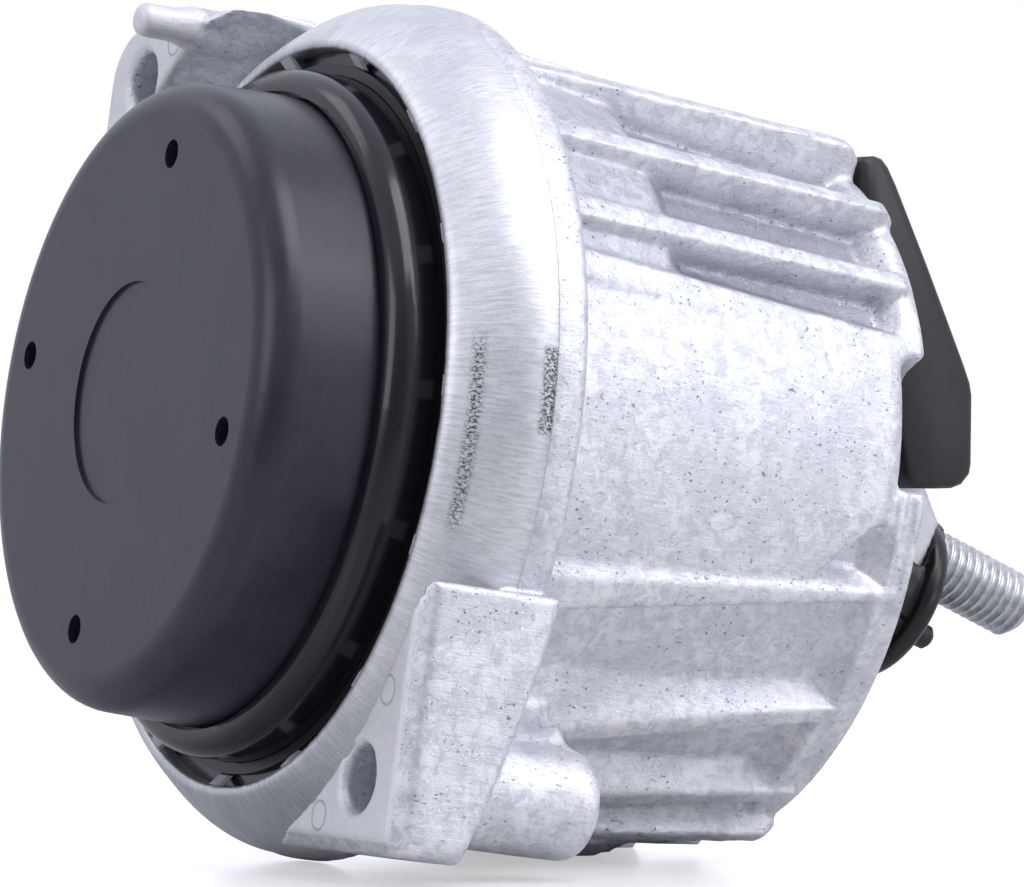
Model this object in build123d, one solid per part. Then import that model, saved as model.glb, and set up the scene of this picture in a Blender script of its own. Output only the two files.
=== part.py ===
from build123d import *
import math
import os

# A hydraulic engine mount, lying on its side.
# The mount's axis is Y: the cap faces -Y, the stud points to +Y, and +Z is up as the mount lies.
# The origin is where the axis crosses the seating plane of the two bolt ears.
# Millimetres. A profile is a list of (radius, y) points that is turned round the axis.

# Housing: collar and bore
BORE_R = 51.5            # front bore that takes the plate stack
MOUTH_Y = 3.3            # front edge of the bore
COLLAR_R = 60.0          # cast band round the collar
TURNED_R = 59.6          # turned front of the collar
SEAM_Y = 16.0            # step between turned front and cast band
BAND_END_Y = 20.9        # rear edge of the cast band
SHOULDER_Y = 15.0        # step in the bore that carries the plate stack
RING_BORE_R = 47.0       # second bore, for the outer ring
RING_SEAT_Y = 36.0       # end of the second bore
WALL = 3.6               # least wall behind a pocket

# Housing: ears
EAR_X = 60.8             # flat sides of the ears
EAR_Z = 58.4             # flat undersides of the ears
EAR_CLEAR_R = 63.6       # round edge of the machined ear pads
BOLT_PCD = 137.2         # circle of the two bolt bores
BOLT_ANGLE = -45.0       # lower ear, seen from the cap
BOLT_HOLE_D = 9.0        # clearance for M8
BOLT_CHAMFER = 0.8
BOSS_D = 15.0            # bolt boss behind each ear
BOSS_END_Y = 33.5
PEG_D = 5.0              # cast peg on the upper ear
PEG_ROOT_D = 6.4
PEG_HEIGHT = 8.8
PEG_FOOT = 5.6           # straight part of the peg
PEG_X = -33.5
EJECTOR_D = 5.2          # shallow ejector marks on the lower ear
EJECTOR_DEPTH = 0.3

# Housing: tapered body
BODY_FRONT_R = 58.0      # rib crests at the collar
RIM_R = 49.6             # rib crests at the rear rim
RIM_Y = 81.0             # rear rim
POCKET_DEPTH = 5.2       # crest to pocket floor
STEP_DEPTH = 2.3         # crest to the raised floor next to the collar
STEP_Y = 39.5            # end of the raised floors
RIM_WALL = 6.0           # end wall of the lower pockets
REAR_HOLE_R = 31.0       # rear opening
REAR_CONE_R = 34.0
REAR_CONE_Y = 84.0       # top of the rear shoulder

# Cap and its ring
CAP_FACE_Y = -18.5
CAP_R = 43.6             # side wall at the face
CAP_FOOT_R = 44.0        # side wall at the foot
CAP_WALL = 2.6
CAP_FLANGE_R = 46.0
CAP_FLANGE = 1.5
CAP_EDGE = 5.0           # rounding between face and side wall
RECESS_D = 30.8
RECESS_DEPTH = 0.5
VENT_D = 4.0
VENT_PCD = 66.5
VENT_ANGLE = -9.5
RING_NECK_R = 48.0       # bead and neck of the clamp ring
RING_FRONT_Y = -2.5
RING_FLANGE_Y = 6.0      # front of the clamp ring's flange
RING_END_Y = 8.0         # back of the clamp ring, on the plates

# Toothed ring
TEETH = 15
TOOTH_ANGLE = 4.4
TOOTH_W = 2.8
TOOTH_REACH = 51.4
SHEET = 0.8

# Plates, membrane and seals
PLATE_SPLIT_Y = 11.5     # lower plate against upper plate
CHANNEL_R = 41.5         # middle of the fluid channel
CHANNEL_W = 6.0
CHANNEL_DEPTH = 2.4
MEMBRANE_R = 28.0
MEMBRANE = 2.6
MEMBRANE_PLAY = 0.4
GRID_HOLE_D = 5.0
GRID_PCDS = (20.0, 42.0)
GRID_COUNTS = (6, 12)
DIAPHRAGM = 2.0
DOME_Y = -11.0           # top of the diaphragm's dome
SEAL_D = 2.4
FIT = 0.1                # clearance of a pushed-in piece

# Spring, core and rear
RING_WALL = 2.7
CORE_FOOT_R = 20.0
CORE_FOOT_Y = 50.0
CORE_NECK_R = 15.0
CORE_NECK_Y = 80.0
STUD_D = 9.8             # M10 thread, drawn plain
STUD_TILT = 16.3         # from the axis, towards the floor
STUD_ROOT_Y = 111.5
STUD_ROOT_Z = -4.7
STUD_OUT = 18.7          # length outside the lug
STUD_SHANK_D = 9.0       # plain shank, in the core and through the shield
STUD_SHANK_OUT = 4.9
STUD_IN = 20.0           # length inside the core
PIN_D = 3.6
PIN_SHANK_D = 3.0
PIN_OUT = 6.3
PIN_IN = 6.0
PIN_DOWN = 10.3          # below the stud
SPIGOT_R = 8.0
BELL_Y = 38.5
BELL_R = 27.0
LUG_W = 22.0
LUG_TOP_Y = 98.0
LUG_TOP_Z = 20.0
RIDGE = 3.4              # stud's centre to the ridge
HEEL = 13.0              # stud's centre to the lower end of the lug
CONE_STEP = 5.2          # how far the ring's seat closes in
CONE_END_Y = 52.0
CAP_SEAT_Y = -0.5        # front of the cap's flange
PLATE_SEAL_Y = 9.8
CHAMBER_SEAL_R = 49.2
NOTCH_Y = 77.3           # rear edge where the rim is cut for the stop
SHIELD_R = 13.6
SHIELD_T = 3.6
SHIELD_DROP = 8.0        # centre of the shield's plate below the stud
SHIELD_LIP = 3.0
STOP_ANGLE = 24.0
STOP_END_ANGLE = 67.0
STOP_TOP_Y = 101.0
STOP_OUT_Y = 105.9
STOP_W = 40.0


def turned(*points):
    """Solid of revolution round the mount's axis."""
    return revolve(make_face(Polyline(*points, close=True)), Axis.Y)


def swung(flat, start, end):
    """Part of a turned face, between two angles that are measured from +X towards +Z."""
    return revolve(Rot(0, -end, 0) * flat, Axis.Y, end - start)


def sector(points, start, end):
    return swung(make_face(Polyline(*points, close=True)), start, end)


def along(angle, radius, y):
    """Place on the mount at an angle from +X towards +Z."""
    return Pos(radius * math.cos(math.radians(angle)), y, radius * math.sin(math.radians(angle)))


def rod(diameter, y_from, y_to):
    """Round bar along the axis."""
    return Pos(0, (y_from + y_to) / 2, 0) * Rot(90, 0, 0) * Cylinder(diameter / 2, y_to - y_from)


def crest_r(y):
    """Radius of the rib crests: they fall evenly from the collar to the rear rim."""
    share = (y - BAND_END_Y) / (RIM_Y - BAND_END_Y)
    return BODY_FRONT_R + (RIM_R - BODY_FRONT_R) * share


def spot(y, angle, radius):
    turn = math.radians(angle)
    return (radius * math.cos(turn), y, radius * math.sin(turn))


def rib_section(y, low, high, top, foot_low, foot_high, foot):
    """Cross-section of a rib at y: two angles of its crest and two of its foot, with their radii."""
    return make_face(Polyline(spot(y, low, top), spot(y, high, top),
                              spot(y, foot_high, foot), spot(y, foot_low, foot), close=True))


def rib(front, rear, front_y=BAND_END_Y - 1, rear_y=RIM_Y - 2.3):
    """Straight cast rib: a steep flank on its low side, a wide one on its high side, a cut corner behind."""
    ends = []
    for y, (low, high, top, foot_high) in ((front_y, front), (rear_y, rear)):
        foot = crest_r(y) - POCKET_DEPTH - 1.5
        ends.append(rib_section(y, low, high, top, low - 1.2, foot_high, foot))
    low, high, top, foot_high = rear
    foot = crest_r(rear_y) - POCKET_DEPTH - 1.5
    tail = [ends[1], rib_section(rear_y + 2, low + 0.4, high - 0.2, top - 1.9, low - 0.8, foot_high, foot)]
    return loft(ends, ruled=True) + loft(tail, ruled=True)


def shell_section(y, start, end, inner, outer):
    """Part of a ring at y, between two angles."""
    def point(radius, angle):
        turn = math.radians(angle)
        return (radius * math.cos(turn), y, radius * math.sin(turn))

    middle = (start + end) / 2
    return make_face([
        ThreePointArc(point(outer, start), point(outer, middle), point(outer, end)),
        Line(point(outer, end), point(inner, end)),
        ThreePointArc(point(inner, end), point(inner, middle), point(inner, start)),
        Line(point(inner, start), point(outer, start))])


def opposite(shape):
    """The same form on the far side of the mount, turned by half a turn."""
    return Rot(0, 180, 0) * shape


def collar():
    front = Spline((BORE_R - 1, MOUTH_Y + 0.8), (BORE_R + 0.5, MOUTH_Y), (BORE_R + 3.4, MOUTH_Y + 2.3),
                   (BORE_R + 6.0, MOUTH_Y + 5.6), (TURNED_R - 0.4, SEAM_Y - 3.6), (TURNED_R, SEAM_Y))
    rest = Polyline((TURNED_R, SEAM_Y), (COLLAR_R - 0.1, SEAM_Y + 0.3), (COLLAR_R, SEAM_Y + 1.0),
                    (COLLAR_R, BAND_END_Y - 1.0), (COLLAR_R - 0.9, BAND_END_Y), (BORE_R - 1, BAND_END_Y),
                    (BORE_R - 1, MOUTH_Y + 0.8))
    return revolve(make_face([front, rest]), Axis.Y)


def ear(corner):
    """Lower ear: square block outside the collar, with a back that slopes forwards to its corner."""
    left, top = 22.0, -22.0
    block = Pos((left + EAR_X) / 2, BAND_END_Y / 2, (top - EAR_Z) / 2) * Box(
        EAR_X - left, BAND_END_Y, EAR_Z + top)
    edge = [e for e in block.edges().filter_by(Axis.Y)
            if e.center().X > EAR_X - 1 and e.center().Z < -EAR_Z + 1]
    block = fillet(edge, corner)
    front = block.faces().sort_by(Axis.Y)[0]
    rim = [e for e in front.edges() if e.center().X > EAR_X - corner or e.center().Z < -EAR_Z + corner]
    block = chamfer(rim, 2.2)
    slope = 0.5
    reach = 95.0
    inner = COLLAR_R - 1.0
    zone = turned((EAR_CLEAR_R, 0), (reach, 0), (reach, BAND_END_Y + 0.6 - slope * (reach - 62)),
                  (62, BAND_END_Y + 0.6), (inner, BAND_END_Y - 0.5), (inner, SEAM_Y - 2),
                  (COLLAR_R + 0.8, SEAM_Y - 2.5))
    return block & zone


def bolt_boss(angle):
    """Round boss behind an ear, tied to the body by a web."""
    start = SEAM_Y - 4
    boss = rod(BOSS_D, start, BOSS_END_Y)
    boss = fillet(boss.edges().sort_by(Axis.Y)[-1], 2.5)
    web = Pos(-9, (start + BOSS_END_Y - 3) / 2, 0) * Box(18, BOSS_END_Y - 3 - start, BOSS_D - 3)
    return along(angle, BOLT_PCD / 2, 0) * (Rot(0, -angle, 0) * (boss + web))


def bolt_bore(angle):
    drill = rod(BOLT_HOLE_D, -1, BOSS_END_Y + 1)
    r = BOLT_HOLE_D / 2
    sink = turned((0, -0.01), (r + BOLT_CHAMFER, -0.01), (r, BOLT_CHAMFER), (0, BOLT_CHAMFER))
    return along(angle, BOLT_PCD / 2, 0) * (drill + sink)


# Ribs, in degrees from +X: low and high edge of the crest, crest radius and foot of the wide flank,
# first at the collar and then at the rear.
UPPER_RIBS = (((65.5, 69.0, 57.0, 79.0), (66.5, 70.0, 54.2, 79.0)),
              ((45.4, 48.6, 57.8, 60.0), (50.0, 52.6, 52.0, 62.5)),
              ((31.0, 34.4, 57.8, 42.0), (34.8, 37.4, 50.4, 46.5)))
LOWER_RIBS = (((-24.3, -19.6, 57.9, -2.0), (-17.2, -15.6, 49.9, -12.5)),
              ((-45.5, -42.0, 57.9, -32.5), (-38.6, -35.6, 49.9, -33.5)),
              ((-65.5, -59.0, 57.9, -51.0), (-59.2, -56.2, 50.6, -53.5)),
              ((-73.5, -70.0, 58.2, -67.0), (-69.0, -66.0, 53.0, -64.0)))
KEEL_RIB = ((-93.0, -88.5, 57.6, -84.0), (-92.0, -89.0, 52.2, -86.0))
FOOT_RIB = ((-115.0, -110.5, 58.6, -104.0), (-113.5, -109.5, 57.3, -104.0))


def bulge():
    """Smooth cover between the two rib groups; its low edge turns up at the rear."""
    front_y, bend_y, rear_y = BAND_END_Y - 1, 63.0, NOTCH_Y - 3.0
    inner = REAR_HOLE_R + 9
    levels = ((front_y, -17.5, 23.5, 1.6), (bend_y, -17.0, 24.5, 0.9), (rear_y, -5.0, 26.0, 0.6))
    slices = [shell_section(y, low, high, inner, crest_r(y) - sink) for y, low, high, sink in levels]
    body = loft(slices[:2], ruled=True) + loft(slices[1:], ruled=True)
    end = crest_r(rear_y) - 0.6
    body += sector([(inner, rear_y - 0.5), (end, rear_y - 0.5), (end - 0.4, rear_y + 1.4), (end - 2.0, NOTCH_Y - 0.3),
                    (end - 4.0, NOTCH_Y), (inner, NOTCH_Y)], -5.4, 25.4)
    # flank up to the first upper rib, and the lip that it runs out in at the rear
    for y_a, y_b in ((front_y, bend_y), (bend_y, RIM_Y - 1)):
        faces = []
        for y in (y_a, y_b):
            low = crest_r(y) - POCKET_DEPTH - 1.5
            faces.append(make_face(Polyline(spot(y, 22.0, crest_r(y) - 1.0), spot(y, 26.0, crest_r(y) - 0.7),
                                            spot(y, 31.5, low), spot(y, 20.0, low), close=True)))
        body += loft(faces, ruled=True)
    return body


def scooped_end(start, finish, wall_y):
    """End wall of a lower pocket; the floor sweeps up into it."""
    foot = crest_r(wall_y - 7) - POCKET_DEPTH
    lip = crest_r(wall_y) - 0.3
    outline = Polyline((lip, wall_y), (RIM_R - 0.4, RIM_Y - 2.2), (RIM_R - 1.6, RIM_Y), (REAR_CONE_R, REAR_CONE_Y),
                       (REAR_HOLE_R, REAR_CONE_Y), (REAR_HOLE_R, wall_y - 7), (foot - 0.3, wall_y - 7))
    scoop = ThreePointArc((foot - 0.3, wall_y - 7), (foot + 1.3, wall_y - 3.0), (lip, wall_y))
    return swung(make_face([scoop, outline]), start, finish)


def ribbed_body():
    front, floor_front = SEAM_Y, crest_r(BAND_END_Y) - POCKET_DEPTH
    floor_rear = crest_r(RIM_Y) - POCKET_DEPTH + 1.4
    body = turned((REAR_HOLE_R, front), (floor_front, front), (floor_front, BAND_END_Y),
                  (floor_rear, RIM_Y - 0.6), (REAR_CONE_R, REAR_CONE_Y), (REAR_HOLE_R, REAR_CONE_Y))
    side = bulge()
    for front_end, rear_end in UPPER_RIBS:
        side += rib(front_end, rear_end)
    for front_end, rear_end in LOWER_RIBS:
        side += rib(front_end, rear_end)
    # raised floors next to the collar, between the upper ribs
    low, far = crest_r(BAND_END_Y) - STEP_DEPTH, crest_r(STEP_Y) - STEP_DEPTH
    for start, finish in ((22, 31), (34, 46), (48, 66), (68, 90)):
        side += sector([(REAR_HOLE_R + 10, BAND_END_Y - 1), (low, BAND_END_Y - 1), (far, STEP_Y - 1.5),
                        (far - 2.4, STEP_Y + 1.2), (REAR_HOLE_R + 10, STEP_Y + 1.2)], start, finish)
    for start, finish, wall_y in ((-17, 0.5, 77.0), (-37, -17, 76.5), (-57, -37, 75.0), (-90, -57, 76.0)):
        side += scooped_end(start, finish, wall_y)
    body = body + side + opposite(side) + rib(*KEEL_RIB) + opposite(rib(*KEEL_RIB)) + rib(*FOOT_RIB)
    notch = sector([(REAR_CONE_R + 2, NOTCH_Y), (70, NOTCH_Y), (70, REAR_CONE_Y + 2),
                    (REAR_CONE_R + 2, REAR_CONE_Y + 2)], 0.5, 23.0)
    return body - notch - opposite(notch)


def housing():
    body = collar() + ribbed_body() + ear(3.0) + opposite(ear(10.0))
    upper = BOLT_ANGLE + 180
    body += bolt_boss(BOLT_ANGLE) + bolt_boss(upper)
    tip, root = PEG_D / 2, PEG_ROOT_D / 2
    body += Pos(PEG_X, 0, EAR_Z - root + 0.4) * turned(
        (0, -PEG_HEIGHT), (tip - 0.8, -PEG_HEIGHT), (tip, 0.8 - PEG_HEIGHT), (tip, PEG_FOOT - PEG_HEIGHT),
        (root, -0.6), (root, SEAM_Y - 4), (0, SEAM_Y - 4))
    # bore, from the mouth to the rear opening
    cone_r = RING_BORE_R - CONE_STEP
    body -= turned((0, MOUTH_Y - 20), (BORE_R, MOUTH_Y - 20), (BORE_R, SHOULDER_Y), (RING_BORE_R, SHOULDER_Y),
                   (RING_BORE_R, RING_SEAT_Y), (cone_r, CONE_END_Y), (cone_r - 2.5, RIM_Y - 10),
                   (REAR_HOLE_R, RIM_Y - 2), (REAR_HOLE_R, REAR_CONE_Y + 1), (0, REAR_CONE_Y + 1))
    body -= bolt_bore(BOLT_ANGLE) + bolt_bore(upper)
    for x, z in ((54.3, -36.5), (38.5, -54.0)):
        body -= Pos(x, EJECTOR_DEPTH / 2, z) * Rot(90, 0, 0) * (
            Cylinder(EJECTOR_D / 2, EJECTOR_DEPTH) - Cylinder(EJECTOR_D / 2 - 0.5, EJECTOR_DEPTH))
    return body


def base_cap():
    face = CAP_FACE_Y
    outer_edge = ThreePointArc((CAP_R - CAP_EDGE, face), (CAP_R - 0.29 * CAP_EDGE, face + 0.29 * CAP_EDGE),
                               (CAP_R, face + CAP_EDGE))
    outside = Polyline((CAP_R, face + CAP_EDGE), (CAP_FOOT_R, RING_FRONT_Y + 0.5), (CAP_FOOT_R, CAP_SEAT_Y),
                       (CAP_FLANGE_R, CAP_SEAT_Y), (CAP_FLANGE_R, CAP_SEAT_Y + CAP_FLANGE),
                       (CAP_FOOT_R - CAP_WALL, CAP_SEAT_Y + CAP_FLANGE), (CAP_R - CAP_WALL, face + CAP_EDGE))
    inner_edge = ThreePointArc((CAP_R - CAP_WALL, face + CAP_EDGE),
                               (CAP_R - CAP_WALL - 0.7, face + CAP_WALL + 0.7),
                               (CAP_R - CAP_EDGE, face + CAP_WALL))
    inside = Polyline((CAP_R - CAP_EDGE, face + CAP_WALL), (0, face + CAP_WALL), (0, face),
                      (CAP_R - CAP_EDGE, face))
    cap = revolve(make_face([outer_edge, outside, inner_edge, inside]), Axis.Y)
    cap -= rod(RECESS_D, face - 1, face + RECESS_DEPTH)
    for turn in range(4):
        cap -= along(VENT_ANGLE + 90 * turn, VENT_PCD / 2, 0) * rod(VENT_D, face - 1, face + CAP_WALL + 1)
    return cap


def clamp_ring():
    lip_r = CAP_FOOT_R + 0.5
    bore = CAP_FLANGE_R + FIT
    bead = ThreePointArc((lip_r, RING_FRONT_Y), (RING_NECK_R - 0.9, RING_FRONT_Y + 1.0),
                         (RING_NECK_R, RING_FRONT_Y + 3.6))
    rest = Polyline((RING_NECK_R, RING_FRONT_Y + 3.6), (RING_NECK_R, RING_FLANGE_Y),
                    (BORE_R - FIT, RING_FLANGE_Y), (BORE_R - FIT, RING_END_Y), (bore, RING_END_Y),
                    (bore, CAP_SEAT_Y), (lip_r, CAP_SEAT_Y), (lip_r, RING_FRONT_Y))
    return revolve(make_face([bead, rest]), Axis.Y)


def retaining_ring():
    back = RING_FLANGE_Y
    knee = RING_NECK_R + 1.6
    rise = 1.6
    ring = turned((RING_NECK_R + FIT, back), (RING_NECK_R + FIT, back - SHEET), (knee, back - SHEET),
                  (TOOTH_REACH, back - SHEET - rise), (TOOTH_REACH, back - rise), (knee, back))
    pitch = 360 / TEETH
    half = math.degrees(TOOTH_W / 2 / TOOTH_REACH)
    for number in range(TEETH):
        angle = TOOTH_ANGLE + number * pitch
        ring -= sector([(knee, back - 4), (BORE_R + 1, back - 4), (BORE_R + 1, back + 1), (knee, back + 1)],
                       angle + half, angle + pitch - half)
    return ring


def diaphragm():
    front = CAP_SEAT_Y + CAP_FLANGE
    root = CAP_FOOT_R - CAP_WALL
    dome = [(0, DOME_Y), (14, DOME_Y + 0.6), (26, DOME_Y + 3.2), (35, DOME_Y + 7.6), (root, front + 1.5)]
    inside = [(r, y + DIAPHRAGM * (1 + 0.4 * r / root)) for r, y in reversed(dome)]
    skin = turned(*dome, (root, front), (CAP_FLANGE_R, front), (CAP_FLANGE_R, RING_END_Y),
                  (root, RING_END_Y), *inside)
    return skin - diaphragm_ring()


def diaphragm_ring():
    middle = (CAP_FOOT_R - CAP_WALL + CAP_FLANGE_R) / 2
    front = CAP_SEAT_Y + CAP_FLANGE + 2.4
    return turned((middle - 0.9, front), (middle + 0.9, front), (middle + 0.9, front + 2.6),
                  (middle - 0.9, front + 2.6))


def grid(y_from, y_to):
    """Holes that let the fluid reach the membrane."""
    holes = rod(GRID_HOLE_D, y_from, y_to)
    for circle, count in zip(GRID_PCDS, GRID_COUNTS):
        for number in range(count):
            holes += along(360 / count * number, circle / 2, 0) * rod(GRID_HOLE_D, y_from, y_to)
    return holes


def plate_blank(y_from, y_to):
    return rod(2 * (BORE_R - FIT), y_from, y_to)


def chamber():
    half = (MEMBRANE + MEMBRANE_PLAY) / 2
    return rod(2 * MEMBRANE_R + 2 * MEMBRANE_PLAY, PLATE_SPLIT_Y - half, PLATE_SPLIT_Y + half)


def seal(radius, y):
    """O-ring round the axis."""
    return revolve(Pos(radius, y) * Circle(SEAL_D / 2), Axis.Y)


def lower_track_plate():
    plate = plate_blank(RING_END_Y, PLATE_SPLIT_Y) - chamber() - grid(RING_END_Y - 1, PLATE_SPLIT_Y + 1)
    half = CHANNEL_W / 2
    plate -= sector([(CHANNEL_R - half, PLATE_SPLIT_Y - CHANNEL_DEPTH),
                     (CHANNEL_R + half, PLATE_SPLIT_Y - CHANNEL_DEPTH),
                     (CHANNEL_R + half, PLATE_SPLIT_Y + 1), (CHANNEL_R - half, PLATE_SPLIT_Y + 1)], 15, 345)
    inlet = 15 + math.degrees(half / CHANNEL_R)
    plate -= along(inlet, CHANNEL_R - 2.5, 0) * rod(CHANNEL_W - 1.2, RING_END_Y - 1, PLATE_SPLIT_Y)
    groove = SEAL_D / 2
    return plate - turned((BORE_R - SEAL_D, PLATE_SEAL_Y - groove), (BORE_R + 1, PLATE_SEAL_Y - groove),
                          (BORE_R + 1, PLATE_SEAL_Y + groove), (BORE_R - SEAL_D, PLATE_SEAL_Y + groove))


def upper_track_plate():
    plate = plate_blank(PLATE_SPLIT_Y, SHOULDER_Y) - chamber() - grid(PLATE_SPLIT_Y - 1, SHOULDER_Y + 1)
    outlet = 345 - math.degrees(CHANNEL_W / 2 / CHANNEL_R)
    plate -= along(outlet, CHANNEL_R, 0) * rod(CHANNEL_W - 1.2, PLATE_SPLIT_Y - 1, SHOULDER_Y + 1)
    half = SEAL_D / 2
    return plate - turned((CHAMBER_SEAL_R - half, SHOULDER_Y - SEAL_D), (CHAMBER_SEAL_R + half, SHOULDER_Y - SEAL_D),
                          (CHAMBER_SEAL_R + half, SHOULDER_Y + 1), (CHAMBER_SEAL_R - half, SHOULDER_Y + 1))


def decoupler():
    floor = PLATE_SPLIT_Y - (MEMBRANE + MEMBRANE_PLAY) / 2
    disc = rod(2 * MEMBRANE_R, floor, floor + MEMBRANE)
    return fillet(disc.edges(), 0.8)


def ring_line():
    """Inner side of the outer ring, where the rubber is bonded."""
    r = RING_BORE_R - FIT - RING_WALL
    return (r, SHOULDER_Y + 3), (r, RING_SEAT_Y - 0.6), (r - CONE_STEP + 0.1, CONE_END_Y - 0.8)


def outer_ring():
    start, knee, tip = ring_line()
    r = RING_BORE_R - FIT
    return turned((start[0], SHOULDER_Y), (r, SHOULDER_Y), (r, RING_SEAT_Y - FIT),
                  (r - CONE_STEP, CONE_END_Y - FIT), tip, knee)


def core_r(y):
    """Radius of the core's bonded cone."""
    return CORE_FOOT_R + (CORE_NECK_R - CORE_FOOT_R) * (y - CORE_FOOT_Y) / (CORE_NECK_Y - CORE_FOOT_Y)


def main_spring():
    start, knee, tip = ring_line()
    top = (core_r(CORE_NECK_Y - 4), CORE_NECK_Y - 4)
    low = (core_r(CORE_FOOT_Y + 2), CORE_FOOT_Y + 2)
    back = ThreePointArc(tip, ((tip[0] + top[0]) / 2 - 1.5, (tip[1] + top[1]) / 2 - 2.0), top)
    front = ThreePointArc(low, ((start[0] + low[0]) / 2 + 1.5, (start[1] + low[1]) / 2 + 2.5), start)
    return revolve(make_face([Polyline(start, knee, tip), back, Line(top, low), front]), Axis.Y)


def stud_place():
    """Seat of the stud on the lug's lower slope, with the stud along local Z."""
    return Pos(0, STUD_ROOT_Y, STUD_ROOT_Z) * Rot(-90 - STUD_TILT, 0, 0)


def lug():
    """Gable-shaped head of the core: upper slope under the stop, lower slope square to the stud."""
    tilt = math.radians(STUD_TILT)
    down = (-math.sin(tilt), -math.cos(tilt))
    ridge = (STUD_ROOT_Y - down[0] * RIDGE, STUD_ROOT_Z - down[1] * RIDGE)
    heel = (STUD_ROOT_Y + down[0] * HEEL, STUD_ROOT_Z + down[1] * HEEL)
    points = [(CORE_NECK_Y + 6, CORE_NECK_R - 2), (LUG_TOP_Y, LUG_TOP_Z), ridge, heel,
              (CORE_NECK_Y + 10, -CORE_NECK_R + 1), (CORE_NECK_Y + 6, -CORE_NECK_R + 2)]
    flat = make_face(Polyline(*[(0, y, z) for y, z in points], close=True))
    return extrude(flat, LUG_W / 2, dir=(1, 0, 0), both=True)


def core_body():
    body = turned((0, CORE_FOOT_Y), (CORE_FOOT_R, CORE_FOOT_Y), (CORE_NECK_R, CORE_NECK_Y),
                  (CORE_NECK_R, CORE_NECK_Y + 9), (CORE_NECK_R - 2, CORE_NECK_Y + 11), (0, CORE_NECK_Y + 11))
    return body + rod(2 * SPIGOT_R, BELL_Y, CORE_FOOT_Y + 1) + lug()


def core():
    body = core_body() - stud_place() * Pos(0, 0, -STUD_IN / 2) * Cylinder(STUD_SHANK_D / 2, STUD_IN)
    return body - pin_body()


def bell_plate():
    return turned((SPIGOT_R - 3, BELL_Y - 2), (BELL_R - 4, BELL_Y - 2), (BELL_R, BELL_Y - 0.5),
                  (BELL_R, BELL_Y + 1.5), (BELL_R - 4, BELL_Y), (SPIGOT_R - 3, BELL_Y))


def stepped(free_d, shank_d, depth, step, out, edge):
    """Pin along local Z: a shank below the step and the free end above it."""
    shank = Pos(0, 0, (step - depth) / 2) * Cylinder(shank_d / 2, step + depth)
    free = Pos(0, 0, (step + out) / 2) * Cylinder(free_d / 2, out - step)
    return shank + chamfer(free.edges().sort_by(Axis.Z)[-1], edge)


def stud():
    return stud_place() * stepped(STUD_D, STUD_SHANK_D, STUD_IN, STUD_SHANK_OUT, STUD_OUT, 1.0)


def pin_body():
    pin = stepped(PIN_D, PIN_SHANK_D, PIN_IN, SHIELD_T, PIN_OUT, 0.6)
    return stud_place() * Pos(0, PIN_DOWN, 0) * pin


def shield_plate(radius, bottom, top):
    return stud_place() * Pos(0, SHIELD_DROP, (bottom + top) / 2) * Cylinder(radius, top - bottom)


def splash_shield():
    """Rubber plate moulded round the stud on the lug, with a lip that runs back along the lug."""
    plate = shield_plate(SHIELD_R, 0, SHIELD_T)
    plate = fillet(plate.edges(), 1.6)
    lip = shield_plate(SHIELD_R - 1.5, -SHIELD_LIP, 1.5)
    neck = stud_place() * Pos(0, 0, SHIELD_T / 2 + 0.6) * Cylinder(STUD_D / 2 + 1.2, SHIELD_T + 1.2)
    cup = plate + lip + neck
    cup -= stud_place() * Cylinder(STUD_SHANK_D / 2, 40)
    return cup - core_body() - pin_body()


def rebound_stop():
    """Rubber stop: two wedges on the housing's rear face, joined by a block over the lug."""
    wedge = sector([(RIM_R + 2.7, RIM_Y + FIT), (RIM_R + 3.4, RIM_Y + 1.3),
                    (REAR_CONE_R, STOP_TOP_Y - 0.9), (REAR_CONE_R - 2, STOP_TOP_Y),
                    (REAR_HOLE_R - 1, STOP_TOP_Y), (REAR_HOLE_R - 1, REAR_CONE_Y + FIT),
                    (REAR_CONE_R + 0.1, REAR_CONE_Y + FIT), (RIM_R - 1.5, RIM_Y + FIT)],
                   STOP_ANGLE, STOP_END_ANGLE)
    profile = [(REAR_CONE_Y + FIT, 16), (REAR_CONE_Y + FIT, 33.5), (STOP_TOP_Y, 27.5), (STOP_OUT_Y - 2.8, 23.2),
               (STOP_OUT_Y - 1.2, 20), (STOP_OUT_Y - 0.2, 16), (STOP_OUT_Y, 10), (STOP_OUT_Y - 1.4, 5.2),
               (STOP_OUT_Y - 3.6, 3.7), (STOP_OUT_Y - 9, 3.6), (STOP_OUT_Y - 11, 5)]
    flat = make_face(Polyline(*[(0, y, z) for y, z in profile], close=True))
    block = extrude(flat, STOP_W / 2, dir=(1, 0, 0), both=True)
    ends = [e for e in block.edges() if abs(abs(e.center().X) - STOP_W / 2) < 0.01 and e.center().Y > 100]
    block = fillet(ends, 1.2)
    return wedge + mirror(wedge, Plane.YZ) + block - core_body()


PARTS = {
    "housing": housing, "base_cap": base_cap, "clamp_ring": clamp_ring, "retaining_ring": retaining_ring,
    "diaphragm": diaphragm, "diaphragm_ring": diaphragm_ring, "lower_track_plate": lower_track_plate,
    "decoupler": decoupler, "upper_track_plate": upper_track_plate,
    "plate_seal": lambda: seal(BORE_R - SEAL_D / 2, PLATE_SEAL_Y),
    "chamber_seal": lambda: seal(CHAMBER_SEAL_R, SHOULDER_Y - SEAL_D / 2),
    "outer_ring": outer_ring, "main_spring": main_spring, "core": core, "bell_plate": bell_plate,
    "stud": stud, "locating_pin": lambda: pin_body(), "splash_shield": splash_shield,
    "rebound_stop": rebound_stop}

os.makedirs("parts", exist_ok=True)
for name, make in PARTS.items():
    export_step(make(), f"parts/{name}.step")
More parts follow.
